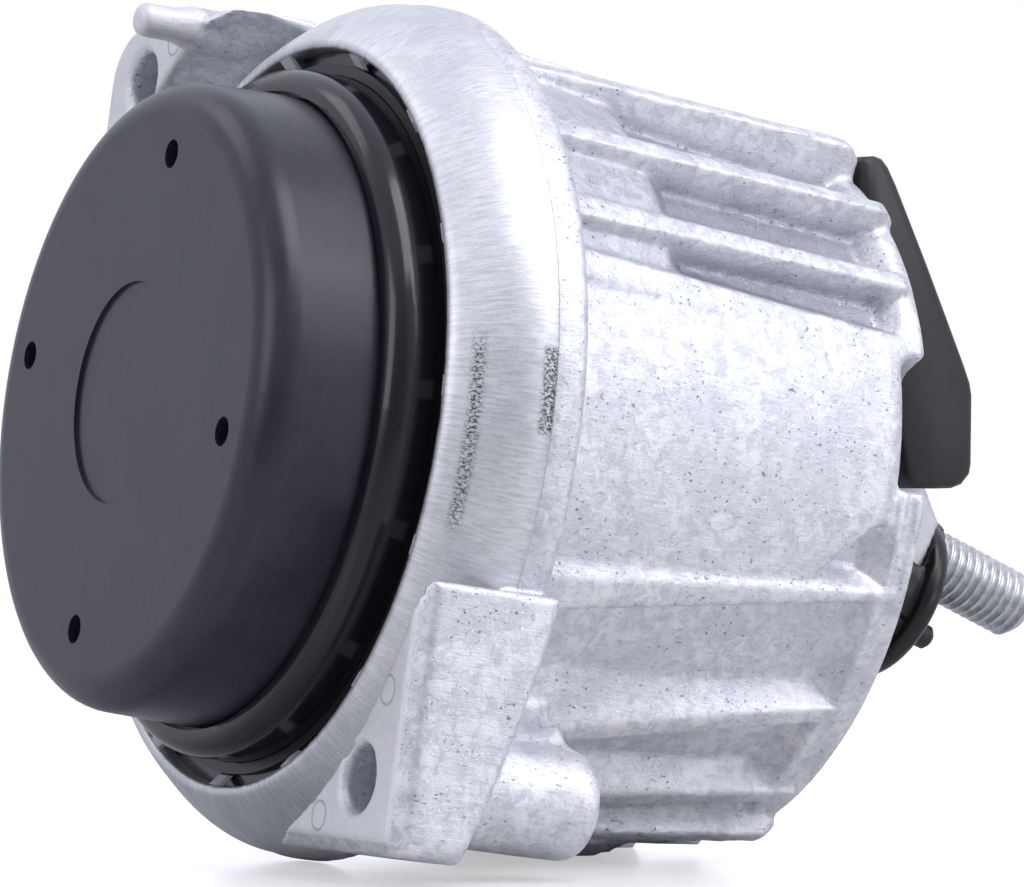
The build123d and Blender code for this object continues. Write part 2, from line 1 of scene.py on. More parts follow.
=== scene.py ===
# A hydraulic engine mount lying on its side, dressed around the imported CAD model.
# Metres, in the CAD's frame: +Y runs along the mount from the cap to the stud, +Z is up.
import math

import bmesh
import bpy
import numpy as np
from mathutils import Matrix, Vector


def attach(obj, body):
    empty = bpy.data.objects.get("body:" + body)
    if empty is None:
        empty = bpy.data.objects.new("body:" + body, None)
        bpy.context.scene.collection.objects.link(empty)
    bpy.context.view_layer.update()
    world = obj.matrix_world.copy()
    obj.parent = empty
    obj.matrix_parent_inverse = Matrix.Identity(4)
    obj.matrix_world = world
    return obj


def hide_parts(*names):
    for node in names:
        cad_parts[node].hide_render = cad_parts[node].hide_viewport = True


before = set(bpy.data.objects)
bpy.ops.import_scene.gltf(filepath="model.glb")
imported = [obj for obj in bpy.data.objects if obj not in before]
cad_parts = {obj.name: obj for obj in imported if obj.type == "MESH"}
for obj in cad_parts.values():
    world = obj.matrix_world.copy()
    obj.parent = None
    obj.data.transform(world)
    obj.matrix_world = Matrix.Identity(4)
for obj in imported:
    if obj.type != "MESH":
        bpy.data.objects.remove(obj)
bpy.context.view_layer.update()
scene = bpy.context.scene
scene.view_settings.view_transform = "Standard"


# Camera: a long lens, a little below the middle of the mount, looking at the cap and the near ear.
# Its place was worked out from the round edges of the cap and collar.
EYE = Vector((0.8072, -0.3868, -0.0613))
SIGHT = Vector((-0.8809, 0.4682, 0.0689)).normalized()
IMAGE_UP = Vector((0.0, -0.1455, 0.9894))
LENS_MM = 228.5
SENSOR_MM = 36.0
FARTHEST = 20.0

image_right = SIGHT.cross(IMAGE_UP).normalized()
image_up = image_right.cross(SIGHT).normalized()
camera_data = bpy.data.cameras.new("camera")
camera_data.lens = LENS_MM
camera_data.sensor_width = SENSOR_MM
camera_data.clip_end = FARTHEST
camera = bpy.data.objects.new("camera", camera_data)
turn = Matrix((image_right, image_up, -SIGHT)).transposed().to_4x4()
camera.matrix_world = Matrix.Translation(EYE) @ turn
scene.collection.objects.link(camera)
scene.camera = camera


# Floor: a sheet of glossy white acrylic. The mount leans on its collar and on a cast foot at the rear,
# so the sheet is tilted by the slope between the two contacts of (y, z).
MM = 0.001
FLOOR_CONTACTS = ((0.0199, -0.0600), (0.0585, -0.0549))
FLOOR_HALF = 3.0
FLOOR_WHITE = (0.78, 0.78, 0.79)
FLOOR_GLOSS = 0.16
FLOOR_GLOW = 0.46


class Finish:
    """A node material that is put together piece by piece; every texture reads Object coordinates in mm."""

    def __init__(self, name):
        self.material = bpy.data.materials.new(name)
        self.material.use_nodes = True
        self.tree = self.material.node_tree
        self.shader = self.tree.nodes["Principled BSDF"]
        self.space = None

    def node(self, kind, **settings):
        """Adds a shader node and sets what is named."""
        made = self.tree.nodes.new("ShaderNode" + kind)
        for key, value in settings.items():
            setattr(made, key, value)
        return made

    def link(self, source, target):
        self.tree.links.new(source, target)

    def put(self, socket, value):
        """Links a socket to a socket, or writes a plain value on it."""
        if isinstance(value, bpy.types.NodeSocket):
            self.link(value, socket)
        elif isinstance(value, tuple) and len(value) == 3 and socket.type == "RGBA":
            socket.default_value = (*value, 1.0)
        else:
            socket.default_value = value

    def math(self, operation, first, second=0.0):
        """One sum, product or other operation on two numbers."""
        made = self.node("Math", operation=operation)
        self.put(made.inputs[0], first)
        self.put(made.inputs[1], second)
        return made.outputs[0]

    def times(self, first, second):
        return self.math("MULTIPLY", first, second)

    def hypotenuse(self, first, second):
        """The square root of the sum of two squares."""
        return self.math("SQRT", self.math("ADD", self.times(first, first), self.times(second, second)))

    def place(self, scale=(1, 1, 1)):
        """Object coordinates in millimetres, stretched by a scale."""
        if self.space is None:
            self.space = self.node("TexCoord").outputs["Object"]
        mapping = self.node("Mapping")
        self.link(self.space, mapping.inputs["Vector"])
        mapping.inputs["Scale"].default_value = [c / MM for c in scale]
        return mapping.outputs[0]

    def split(self):
        """x, y and z in mm."""
        parts = self.node("SeparateXYZ")
        self.link(self.place(), parts.inputs[0])
        return parts.outputs

    def axes(self):
        """Radius from the mount's axis in mm, angle from +X in radians, and y in mm."""
        x, y, z = self.split()
        return self.hypotenuse(x, z), self.math("ARCTAN2", z, x), y

    def vector(self, x, y, z):
        """Three numbers as one vector."""
        made = self.node("CombineXYZ")
        for socket, value in zip(made.inputs, (x, y, z)):
            self.put(socket, value)
        return made.outputs[0]

    def noise(self, scale, vector=None, detail=3.0, roughness=0.55, distortion=0.0):
        """Uneven patches, from 0 to 1; the scale is how many there are to a millimetre."""
        made = self.node("TexNoise")
        self.link(vector or self.place(), made.inputs["Vector"])
        made.inputs["Scale"].default_value = scale
        made.inputs["Detail"].default_value = detail
        made.inputs["Roughness"].default_value = roughness
        made.inputs["Distortion"].default_value = distortion
        return made.outputs["Fac"]

    def step(self, value, low, high):
        """0 below low, 1 above high, smooth between; with low above high it falls instead."""
        made = self.node("MapRange", interpolation_type="SMOOTHSTEP")
        falls = low > high
        self.put(made.inputs["Value"], value)
        made.inputs["From Min"].default_value = min(low, high)
        made.inputs["From Max"].default_value = max(low, high)
        made.inputs["To Min"].default_value = 1.0 if falls else 0.0
        made.inputs["To Max"].default_value = 0.0 if falls else 1.0
        return made.outputs["Result"]

    def band(self, value, edges):
        """0 outside the first and last of four edges, 1 between the middle two, smooth in between."""
        start, full, fading, end = edges
        return self.times(self.step(value, start, full), self.step(value, end, fading))

    def spread(self, value, low, high):
        """Value from 0 to 1 spread evenly from low to high."""
        return self.math("ADD", self.times(value, high - low), low)

    def mix(self, share, first, second):
        """The first colour where the share is 0, the second where it is 1."""
        made = self.node("Mix", data_type="RGBA")
        self.put(made.inputs["Factor"], share)
        self.put(made.inputs["A"], first)
        self.put(made.inputs["B"], second)
        return made.outputs["Result"]

    def tinted(self, color, tint, share, strength):
        """A colour with a tint laid over it: the mix of the two by share times strength."""
        return self.mix(self.times(share, strength), color, tint)

    def blend(self, share, first, second):
        """The first number where the share is 0, the second where it is 1."""
        made = self.node("Mix", data_type="FLOAT")
        self.put(made.inputs["Factor"], share)
        self.put(made.inputs[2], first)
        self.put(made.inputs[3], second)
        return made.outputs[0]

    def bump(self, height, depth_mm, strength):
        """Shades the surface as if a height from 0 to 1 stood out by the depth."""
        made = self.node("Bump")
        self.link(height, made.inputs["Height"])
        made.inputs["Distance"].default_value = depth_mm * MM
        made.inputs["Strength"].default_value = strength
        self.link(made.outputs[0], self.shader.inputs["Normal"])

    def paint(self, color, rough, metallic, ior=None):
        """Puts colour, roughness, metal share and, where given, the refractive index on the shader."""
        self.put(self.shader.inputs["Base Color"], color)
        self.put(self.shader.inputs["Roughness"], rough)
        self.put(self.shader.inputs["Metallic"], metallic)
        if ior:
            self.shader.inputs["IOR"].default_value = ior


(contact_y, contact_z), (rear_y, rear_z) = FLOOR_CONTACTS
slope = (rear_z - contact_z) / (rear_y - contact_y)


def floor_z(y):
    """Height of the floor under the mount: the front contact's height plus slope times distance."""
    return contact_z + slope * (y - contact_y)


floor_mesh = bpy.data.meshes.new("floor")
corners = [(sx * FLOOR_HALF, sy * FLOOR_HALF) for sx, sy in ((-1, -1), (1, -1), (1, 1), (-1, 1))]
floor_mesh.from_pydata([(x, y, floor_z(y)) for x, y in corners], [], [(0, 1, 2, 3)])
floor = bpy.data.objects.new("floor", floor_mesh)
scene.collection.objects.link(floor)

acrylic = Finish("white_acrylic")
acrylic.paint(FLOOR_WHITE, FLOOR_GLOSS, 0.0, ior=1.5)
acrylic.shader.inputs["Emission Color"].default_value = (1, 1, 1, 1)
seen = acrylic.times(acrylic.node("LightPath").outputs["Is Camera Ray"], FLOOR_GLOW)
acrylic.link(seen, acrylic.shader.inputs["Emission Strength"])
floor_mesh.materials.append(acrylic.material)


# Light: a white studio that is darker low down and on the side behind the camera, and five soft boxes.
# The camera sees plain white behind the mount; metal mirrors the uneven studio, in a faintly blue white.
WORLD_LIGHT = 0.36
DARK_WAY = (0.86, -0.50, -0.10)
DARK_EDGES = (0.45, 0.98)
DARK_SIDE = 0.35
SKY_EDGES = (-0.1, 0.65)
LOW_SKY = 0.85
SKY_TINT = (0.86, 0.88, 1.0, 1)
# each box: its place, the point it faces, its width and height, and its power in watts
SOFT_BOXES = {
    "key_light": ((0.50, 0.10, 1.0), (0, 0.04, 0), (0.7, 0.7), 5.5),
    "rear_light": ((0.85, 0.70, 0.75), (0, 0.05, 0), (0.6, 0.6), 3.0),
    "low_fill_light": ((0.75, 0.65, 0.03), (0.03, 0.06, -0.03), (0.4, 0.2), 0.5),
    "front_light": ((0.15, -1.0, 0.30), (0.03, 0.0, -0.02), (0.5, 0.5), 1.6),
    "top_left_light": ((-0.60, -0.55, 0.85), (0, 0.0, 0), (0.5, 0.5), 1.0),
}

world = bpy.data.worlds.new("studio")
scene.world = world
world.use_nodes = True
studio = world.node_tree


def studio_node(kind, **settings):
    """Adds a node to the world and sets what is named."""
    made = studio.nodes.new("ShaderNode" + kind)
    for key, value in settings.items():
        setattr(made, key, value)
    return made


def studio_step(value, edges, ends):
    """A smooth change from the first end to the second while the value runs between the two edges."""
    made = studio_node("MapRange", interpolation_type="SMOOTHSTEP")
    for key, number in zip(("From Min", "From Max", "To Min", "To Max"), (*edges, *ends)):
        made.inputs[key].default_value = number
    studio.links.new(value, made.inputs["Value"])
    return made.outputs["Result"]


def studio_math(operation, first, second):
    """One operation on two of the world's numbers."""
    made = studio_node("Math", operation=operation)
    studio.links.new(first, made.inputs[0])
    studio.links.new(second, made.inputs[1])
    return made.outputs[0]


def studio_mix(share, first, second):
    """The first background where the share is 0, the second where it is 1."""
    made = studio_node("MixShader")
    for socket, source in zip(made.inputs, (share, first, second)):
        studio.links.new(source, socket)
    return made.outputs[0]


direction = studio_node("TexCoord").outputs["Generated"]
facing = studio_node("VectorMath", operation="DOT_PRODUCT")
facing.inputs[1].default_value = DARK_WAY
studio.links.new(direction, facing.inputs[0])
height = studio_node("SeparateXYZ")
studio.links.new(direction, height.inputs[0])
side_shade = studio_step(facing.outputs["Value"], DARK_EDGES, (1.0, DARK_SIDE))
low_shade = studio_step(height.outputs["Z"], SKY_EDGES, (LOW_SKY, 1.0))

ray = studio_node("LightPath").outputs
diffuse_part = studio.nodes["Background"]
diffuse_part.inputs["Color"].default_value = SKY_TINT
diffuse_part.inputs["Strength"].default_value = WORLD_LIGHT
mirror_part = studio_node("Background")
mirror_part.inputs["Color"].default_value = SKY_TINT
studio.links.new(studio_math("MINIMUM", side_shade, low_shade), mirror_part.inputs["Strength"])
seen_part = studio_node("Background")
seen_part.inputs["Color"].default_value = (1.0, 1.0, 1.0, 1)
seen_part.inputs["Strength"].default_value = 1.0
mirrored = studio_math("MAXIMUM", ray["Is Glossy Ray"], ray["Is Transmission Ray"])
lighting = studio_mix(mirrored, diffuse_part.outputs[0], mirror_part.outputs[0])
shown = studio_mix(ray["Is Camera Ray"], lighting, seen_part.outputs[0])
studio.links.new(shown, studio.nodes["World Output"].inputs[0])


def soft_box(name, place, aim, size, power):
    """A rectangular area lamp at a place, turned towards a point."""
    data = bpy.data.lights.new(name, "AREA")
    data.shape = "RECTANGLE"
    data.size, data.size_y = size
    data.energy = power
    lamp = bpy.data.objects.new(name, data)
    lamp.location = place
    lamp.rotation_euler = (Vector(aim) - Vector(place)).to_track_quat("-Z", "Y").to_euler()
    scene.collection.objects.link(lamp)


for name, box in SOFT_BOXES.items():
    soft_box(name, *box)


# Housing: one die casting in aluminium, with soft edges and a blasted skin. Only the front of its collar
# is turned, and the two ear pads are milled. The rims that close the bays behind and the cast foot
# under the body are added to the CAD form before the skin is laid over all of it.
TURNED_R = 0.0596
SEAM_Y = 0.0160
BODY_FRONT_R = 0.058
BAND_END_Y = 0.0209
RIM_R = 0.0496
RIM_Y = 0.081
RIM_CORE_R = 0.042
POCKET = 0.0052
# the far side repeats the near one, turned by half a turn
HALF_TURNS = (0.0, 180.0)
# each rim's points: how far before the casting's rear face, and how far below the rim's radius
UPPER_RIM = ((0.007, 0.0035), (0.003, 0.0004), (0.001, 0.0003), (0.0001, 0.0010))
LOWER_RIM = ((0.0030, 0.0022), (0.0016, -0.0001), (0.0004, 0.0), (0.0001, 0.0006))
UPPER_BAYS = (23.5, 88.0)
LOWER_BAYS = (-90.0, 0.5)
UPPER_STEPS = 40
LOWER_STEPS = 56
FOOT_X = (-0.0220, 0.0020)
FOOT_Y = (0.0515, 0.0655)
FOOT_TOP_Z = -0.042
FOOT_ROUND = 0.0016
CAST_VOXEL = 0.00052
CAST_PASSES = 5
CAST_LIMIT = 190000
SKIN_INNER_R = 0.040
WAVE_DEPTH = 0.0001
WAVE_SIZE = 0.009
WAVE_SEED = 3


def merged_copy(node, name):
    """A copy of a CAD node's mesh, with its loose corners merged."""
    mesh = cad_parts[node].data.copy()
    piece = bpy.data.objects.new(name, mesh)
    scene.collection.objects.link(piece)
    weld = piece.modifiers.new("weld", "WELD")
    weld.merge_threshold = 1e-6
    return piece


def settle(piece):
    """Applies the modifiers that a piece has so far."""
    graph = bpy.context.evaluated_depsgraph_get()
    mesh = bpy.data.meshes.new_from_object(piece.evaluated_get(graph))
    piece.modifiers.clear()
    piece.data = mesh
    mesh.materials.clear()
    return mesh


def numbers_of(mesh, key):
    """One row of three numbers for each of a mesh's points: its place or its normal."""
    flat = np.empty(len(mesh.vertices) * 3)
    mesh.vertices.foreach_get(key, flat)
    return flat.reshape(-1, 3)


def put_points(mesh, points):
    """Moves a mesh's points to new places."""
    mesh.vertices.foreach_set("co", points.ravel())
    mesh.update()


def shade_smooth(mesh):
    """Shades a mesh without facets."""
    mesh.polygons.foreach_set("use_smooth", np.ones(len(mesh.polygons), bool))


def loops_mesh(name, rings):
    """A skin over closed rings of points: each ring joined to the next by quads, with flat ends."""
    count, around = rings.shape[:2]
    index = np.arange(count * around).reshape(count, around)
    here, ahead = index[:-1], index[1:]
    beside, diagonal = np.roll(here, -1, axis=1), np.roll(ahead, -1, axis=1)
    faces = np.stack((here, beside, diagonal, ahead), axis=-1).reshape(-1, 4).tolist()
    faces += [index[0][::-1].tolist(), index[-1].tolist()]
    mesh = bpy.data.meshes.new(name)
    mesh.from_pydata(rings.reshape(-1, 3), [], faces)
    shell = bmesh.new()
    shell.from_mesh(mesh)
    bmesh.ops.recalc_face_normals(shell, faces=shell.faces)
    shell.to_mesh(mesh)
    shell.free()
    return mesh


def swept_round(outline, start, end, steps):
    """An outline of (y, radius) carried round the mount's axis from one angle to another."""
    angle = np.radians(np.linspace(start, end, steps))[:, None]
    y, radius = np.array(outline).T
    rings = np.stack(np.broadcast_arrays(radius * np.cos(angle), y, radius * np.sin(angle)), axis=-1)
    return loops_mesh("rim", rings)


def bar_along_x(outline, stations):
    """An outline of (y, z) repeated at stations of (x, inset), drawn in by the inset along its normals."""
    points = np.array(outline)
    ahead = np.roll(points, -1, axis=0) - np.roll(points, 1, axis=0)
    ahead /= np.linalg.norm(ahead, axis=1, keepdims=True)
    inward = np.stack((-ahead[:, 1], ahead[:, 0]), axis=1)
    middle = points.mean(axis=0) - points
    inward *= np.sign((inward * middle).sum()) or 1.0
    rings = [np.column_stack((np.full(len(points), x), points + inward * inset)) for x, inset in stations]
    return loops_mesh("bar", np.array(rings))


def soft_edged(node, name, voxel, passes, limit, added=(), reshape=None):
    """The CAD node as a casting or moulding: a fine even mesh whose edges are worn round by smoothing.
    Meshes that are added are fused with it, and reshape moves its points before that."""
    piece = merged_copy(node, name)
    mesh = settle(piece)
    if reshape:
        put_points(mesh, reshape(numbers_of(mesh, "co")))
    whole = bmesh.new()
    whole.from_mesh(mesh)
    for part in added:
        whole.from_mesh(part)
        bpy.data.meshes.remove(part)
    whole.to_mesh(mesh)
    whole.free()
    remesh = piece.modifiers.new("even", "REMESH")
    remesh.mode = "VOXEL"
    remesh.voxel_size = voxel
    smooth = piece.modifiers.new("soft", "SMOOTH")
    smooth.factor = 0.5
    smooth.iterations = passes
    mesh = settle(piece)
    triangles = 2 * len(mesh.polygons)
    if triangles > limit:
        thin = piece.modifiers.new("thin", "DECIMATE")
        thin.ratio = limit / triangles
        mesh = settle(piece)
    shade_smooth(mesh)
    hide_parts(node)
    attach(piece, "root")
    return piece


def waves(points, size, seed):
    """Slow uneven waves: the mean of eight sine waves in random directions, 0.6 to 1.6 sizes long."""
    rng = np.random.default_rng(seed)
    total = np.zeros(len(points))
    for number in range(8):
        way = rng.normal(size=3)
        way /= np.linalg.norm(way)
        total += np.sin(points @ way * (2 * np.pi / (size * rng.uniform(0.6, 1.6))) + rng.uniform(0, 6.3))
    return total / 8


def hill(value, low, high):
    """0 at low and below, 1 at high and above, and a smooth rise between."""
    share = np.clip((value - low) / (high - low), 0, 1)
    return share * share * (3 - 2 * share)


def rim_outline(steps):
    """A rim's outline of (y, radius) through its points, closed inside the casting's wall."""
    outline = [(RIM_Y - before, RIM_R - below) for before, below in steps]
    return [(outline[0][0], RIM_CORE_R), *outline, (outline[-1][0], RIM_CORE_R)]


foot_front, foot_back = FOOT_Y
foot_left, foot_right = FOOT_X
foot_outline = ((foot_front, FOOT_TOP_Z),
                (foot_front, floor_z(foot_front) + FOOT_ROUND),
                (foot_front + FOOT_ROUND, floor_z(foot_front + FOOT_ROUND)),
                (foot_back - FOOT_ROUND, floor_z(foot_back - FOOT_ROUND)),
                (foot_back, floor_z(foot_back) + FOOT_ROUND),
                (foot_back, FOOT_TOP_Z))
foot_stations = ((foot_left, FOOT_ROUND), (foot_left + FOOT_ROUND, 0.0),
                 (foot_right - FOOT_ROUND, 0.0), (foot_right, FOOT_ROUND))
additions = [bar_along_x(foot_outline, foot_stations)]
bays = ((UPPER_RIM, UPPER_BAYS, UPPER_STEPS), (LOWER_RIM, LOWER_BAYS, LOWER_STEPS))
for half_turn in HALF_TURNS:
    for rim, (start, end), steps in bays:
        additions.append(swept_round(rim_outline(rim), start + half_turn, end + half_turn, steps))

cast_voxel = CAST_VOXEL
housing = soft_edged("housing", "housing_casting", cast_voxel, CAST_PASSES, CAST_LIMIT, additions)
mesh = housing.data
points = numbers_of(mesh, "co")
normals = numbers_of(mesh, "normal")
radius = np.hypot(points[:, 0], points[:, 2])
cast_skin = (points[:, 1] > BAND_END_Y) & (radius > SKIN_INNER_R)
swell = WAVE_DEPTH * waves(points[cast_skin], WAVE_SIZE, WAVE_SEED)
points[cast_skin] += normals[cast_skin] * swell[:, None]

angle = np.degrees(np.arctan2(points[:, 2], points[:, 0]))
along_body = np.clip((points[:, 1] - BAND_END_Y) / (RIM_Y - BAND_END_Y), 0, 1)


def from_collar_to_rim(ends):
    """For each point, a number that runs evenly from one end at the collar to the other at the rim."""
    return ends[0] + (ends[1] - ends[0]) * along_body


def degrees_apart(first, second):
    """How far two angles are apart, the short way round."""
    return np.abs((first - second + 180.0) % 360.0 - 180.0)


# The rib on the underside is worn down to a lower crest, so that the mount stands on its foot.
KEEL_ANGLE = -90.5
KEEL_HALF = 7.0
KEEL_CREST = (0.0562, 0.0505)
KEEL_INNER_R = 0.045
KEEL_FROM_Y = FOOT_Y[1] + 0.0005
on_crest = (degrees_apart(angle, KEEL_ANGLE) < KEEL_HALF) & (radius > KEEL_INNER_R)
keel = on_crest & (points[:, 1] > KEEL_FROM_Y)
crest_radius = np.minimum(radius, from_collar_to_rim(KEEL_CREST))
lowered = np.where(keel, crest_radius / np.maximum(radius, 1e-6), 1.0)
points[:, 0] *= lowered
points[:, 2] *= lowered

# The second rib below the bulge lies a little lower at the collar than in the CAD form, on both sides.
# It is turned round the mount's axis, fully within RIB_FULL of its middle and less out to RIB_REACH.
RIB_PLACE = (-43.7, -37.1)
RIB_SHIFT = (-2.6, -0.7)
RIB_FULL = 1.5
RIB_REACH = 7.5
RIB_FOOT_R = (0.046, 0.050)
BOSS_R = (0.0585, 0.0600)
RIB_START = 0.002
near_rib = np.zeros(len(points))
for half_turn in HALF_TURNS:
    off_rib = degrees_apart(angle - half_turn, from_collar_to_rim(RIB_PLACE))
    near_rib += 1 - hill(off_rib, RIB_FULL, RIB_REACH)
turned = np.radians(near_rib * from_collar_to_rim(RIB_SHIFT))
turned *= hill(radius, *RIB_FOOT_R) * (1 - hill(radius, *BOSS_R))
turned *= hill(points[:, 1], BAND_END_Y, BAND_END_Y + RIB_START)
turned_x = points[:, 0] * np.cos(turned) - points[:, 2] * np.sin(turned)
turned_z = points[:, 0] * np.sin(turned) + points[:, 2] * np.cos(turned)
points[:, 0] = turned_x
points[:, 2] = turned_z
put_points(mesh, points)

# The blasted skin: patchy greys, lighter and darker flow lines of the melt, painted shade that deepens in
# the bays
#  between the ribs, most of all in the upper ones whose flanks face down, fine dark specks, and painted
#  glints.
CAST_GREY = (0.58, 0.59, 0.65)
CAST_PALE = (0.86, 0.86, 0.90)
CLOUD_TINT = (0.60, 0.61, 0.67)
FLOW_LIGHT = (0.92, 0.92, 0.95)
FLOW_DARK = (0.42, 0.43, 0.48)
BAY_SHADE_PAINT = (0.30, 0.31, 0.37)
SPARKLE = (0.98, 0.98, 1.0)
SPECK_TINT = (0.16, 0.16, 0.19)
BAY_DEPTHS = (0.4, POCKET / MM)
UPPER_ARC = (0.36, 0.44, 1.6, 1.75)
cast = Finish("cast_aluminium")
radius_mm, turn_angle, y_mm = cast.axes()
grain = cast.noise(2.4, detail=4.0, roughness=0.7)
mottle = cast.noise(0.50, detail=5.0, roughness=0.68, distortion=0.6)
cloud = cast.noise(0.11, detail=3.0, roughness=0.6)
flow = cast.noise(1.0, cast.place((2.6, 0.22, 2.6)), detail=4.0, roughness=0.7)
specks = cast.noise(1.9, cast.place((1.0, 0.7, 1.0)), detail=2.0, roughness=0.5)
glints = cast.noise(2.9, detail=1.0)
# Painted shade in the bays: darker the farther a point lies below the cone through the rib crests, stronger
# in the upper arc.
behind_band = cast.math("SUBTRACT", y_mm, BAND_END_Y / MM)
cone = cast.times(behind_band, (RIM_R - BODY_FRONT_R) / (RIM_Y - BAND_END_Y))
below_cone = cast.math("SUBTRACT", cast.math("ADD", cone, BODY_FRONT_R / MM), radius_mm)
upper = cast.band(turn_angle, UPPER_ARC)
painted_bay_shade = cast.times(cast.step(below_cone, *BAY_DEPTHS), cast.spread(upper, 0.12, 0.85))
speckled = cast.times(cast.step(specks, 0.655, 0.70), cast.step(cloud, 0.40, 0.55))
# Painted glints: small spots whose colour is set near white, and which are also less rough.
painted_glint_spots = cast.step(glints, 0.69, 0.74)
skin = cast.mix(cast.step(mottle, 0.34, 0.62), CAST_GREY, CAST_PALE)
skin = cast.tinted(skin, CLOUD_TINT, cast.step(cloud, 0.42, 0.62), 0.55)
skin = cast.tinted(skin, FLOW_LIGHT, cast.step(flow, 0.56, 0.66), 0.45)
skin = cast.tinted(skin, FLOW_DARK, cast.step(flow, 0.42, 0.33), 0.40)
# the painted bay shade laid over the skin
skin = cast.mix(painted_bay_shade, skin, BAY_SHADE_PAINT)
skin = cast.tinted(skin, SPARKLE, cast.step(grain, 0.44, 0.66), 0.16)
skin = cast.tinted(skin, SPECK_TINT, speckled, 0.75)
skin = cast.mix(painted_glint_spots, skin, SPARKLE)

# The turned front of the collar, with fine hairlines along the mount.
TURNED_GREY = (0.64, 0.65, 0.69)
TURNED_PALE = (0.82, 0.82, 0.86)
TURNED_CLOUD = (0.55, 0.56, 0.60)
TURNED_BRIGHT = (0.93, 0.93, 0.95)
SEAM_MM = SEAM_Y / MM
TURNED_MM = TURNED_R / MM
before_seam = cast.step(y_mm, SEAM_MM + 0.2, SEAM_MM - 0.1)
inside_edge = cast.step(radius_mm, TURNED_MM + 0.9, TURNED_MM + 0.5)
turned_zone = cast.times(before_seam, inside_edge)
around = cast.times(turn_angle, TURNED_MM)
hairs = cast.noise(1.0, cast.vector(cast.times(around, 2.6), cast.times(y_mm, 0.35), 0.0), detail=4.0)
satin = cast.mix(cast.step(hairs, 0.36, 0.62), TURNED_GREY, TURNED_PALE)
satin = cast.tinted(satin, TURNED_CLOUD, cast.step(cloud, 0.46, 0.60), 0.35)
satin = cast.tinted(satin, TURNED_BRIGHT, cast.step(grain, 0.46, 0.75), 0.5)
color = cast.mix(turned_zone, skin, satin)

# Open pores where the turning cut into the casting: a band near the bore and a patch at the seam.
# A band's four edges are in mm along the mount, an arc's in radians round it.
PORE_TINT = (0.045, 0.045, 0.055)
PORE_BAND = (5.3, 6.3, 6.7, 7.7)
PORE_ARC = (-0.30, -0.22, 0.14, 0.24)
PATCH_BAND = (13.6, 14.6, 16.1, 16.4)
PATCH_ARC = (-0.03, 0.0, 0.17, 0.19)
pores = cast.noise(2.0, cast.vector(cast.times(around, 1.3), y_mm, 0.0), detail=5.0, roughness=0.8)
pore_zone = cast.times(cast.band(y_mm, PORE_BAND), cast.band(turn_angle, PORE_ARC))
patch_zone = cast.times(cast.band(y_mm, PATCH_BAND), cast.band(turn_angle, PATCH_ARC))
open_pores = cast.math("MAXIMUM", cast.times(pore_zone, cast.step(pores, 0.46, 0.56)),
                       cast.times(patch_zone, cast.step(pores, 0.43, 0.55)))
color = cast.tinted(color, PORE_TINT, cast.times(open_pores, turned_zone), 0.95)

# The milled pads of the ears, each with two round marks of the ejector pins at (x, z) in mm.
MILLED = (0.88, 0.88, 0.92)
MARK_TINT = (0.30, 0.31, 0.36)
PAD_Y = (0.5, 0.35)
PAD_R = (61.5, 62.5)
EJECTOR_MARKS = ((54.05, 36.8), (38.95, 54.0))
MARK_RING = (1.65, 1.85, 2.05, 2.2)
pad = cast.times(cast.step(y_mm, *PAD_Y), cast.step(radius_mm, *PAD_R))
color = cast.tinted(color, MILLED, pad, 0.8)
across, _, up = cast.split()
for mark_x, mark_z in EJECTOR_MARKS:
    aside = cast.math("SUBTRACT", cast.math("ABSOLUTE", across), mark_x)
    above = cast.math("SUBTRACT", cast.math("ABSOLUTE", up), mark_z)
    ring = cast.times(cast.band(cast.hypotenuse(aside, above), MARK_RING), pad)
    color = cast.tinted(color, MARK_TINT, ring, 0.6)

rough = cast.blend(painted_glint_spots, cast.spread(mottle, 0.34, 0.58), 0.22)
rough = cast.blend(turned_zone, rough, cast.spread(hairs, 0.38, 0.52))
cast.paint(color, rough, cast.blend(pad, 0.70, 0.25))
relief = cast.math("ADD", cast.times(grain, 0.22), cast.times(mottle, 0.9))
relief = cast.math("SUBTRACT", cast.math("ADD", relief, cast.times(flow, 0.5)), cast.times(speckled, 0.6))
relief = cast.blend(turned_zone, relief, cast.times(hairs, 0.25))
cast.bump(relief, 0.16, 0.8)
housing.data.materials.append(cast.material)


# Core: a cast aluminium cone that the spring is bonded to, with a gable-shaped lug at its rear. The lug
# sits a little nearer to the housing than in the CAD form, and so do the shield and the stud's seat.
STUD_TILT = math.radians(16.3)
STUD_WAY = np.array((0.0, math.cos(STUD_TILT), -math.sin(STUD_TILT)))
CAD_ROOT = np.array((0.0, 0.1115, -0.0047))
SEAT_BACK = 0.0045
STUD_ROOT = CAD_ROOT - STUD_WAY * SEAT_BACK
LUG_FROM_Y = 0.090
LUG_FADE = 0.012
LUG_NARROW = 19.0 / 22.0
CORE_VOXEL = 0.00045
CORE_PASSES = 3
CORE_LIMIT = 90000
CORE_GREY = (0.52, 0.53, 0.58)
CORE_PALE = (0.76, 0.76, 0.80)


def lug_moved(points):
    """The lug's points pushed back along the stud, fading out towards the neck, and drawn in across."""
    share = hill(points[:, 1], LUG_FROM_Y, LUG_FROM_Y + LUG_FADE)
    points -= STUD_WAY * SEAT_BACK * share[:, None]
    points[:, 0] *= 1 - (1 - LUG_NARROW) * share
    return points


core = soft_edged("core", "core_casting", CORE_VOXEL, CORE_PASSES, CORE_LIMIT, reshape=lug_moved)
cast_core = Finish("core_aluminium")
core_grain = cast_core.noise(2.2, detail=4.0, roughness=0.7)
core_color = cast_core.mix(core_grain, CORE_GREY, CORE_PALE)
cast_core.paint(core_color, cast_core.spread(core_grain, 0.30, 0.50), 0.6)
cast_core.bump(core_grain, 0.08, 0.6)
core.data.materials.append(cast_core.material)


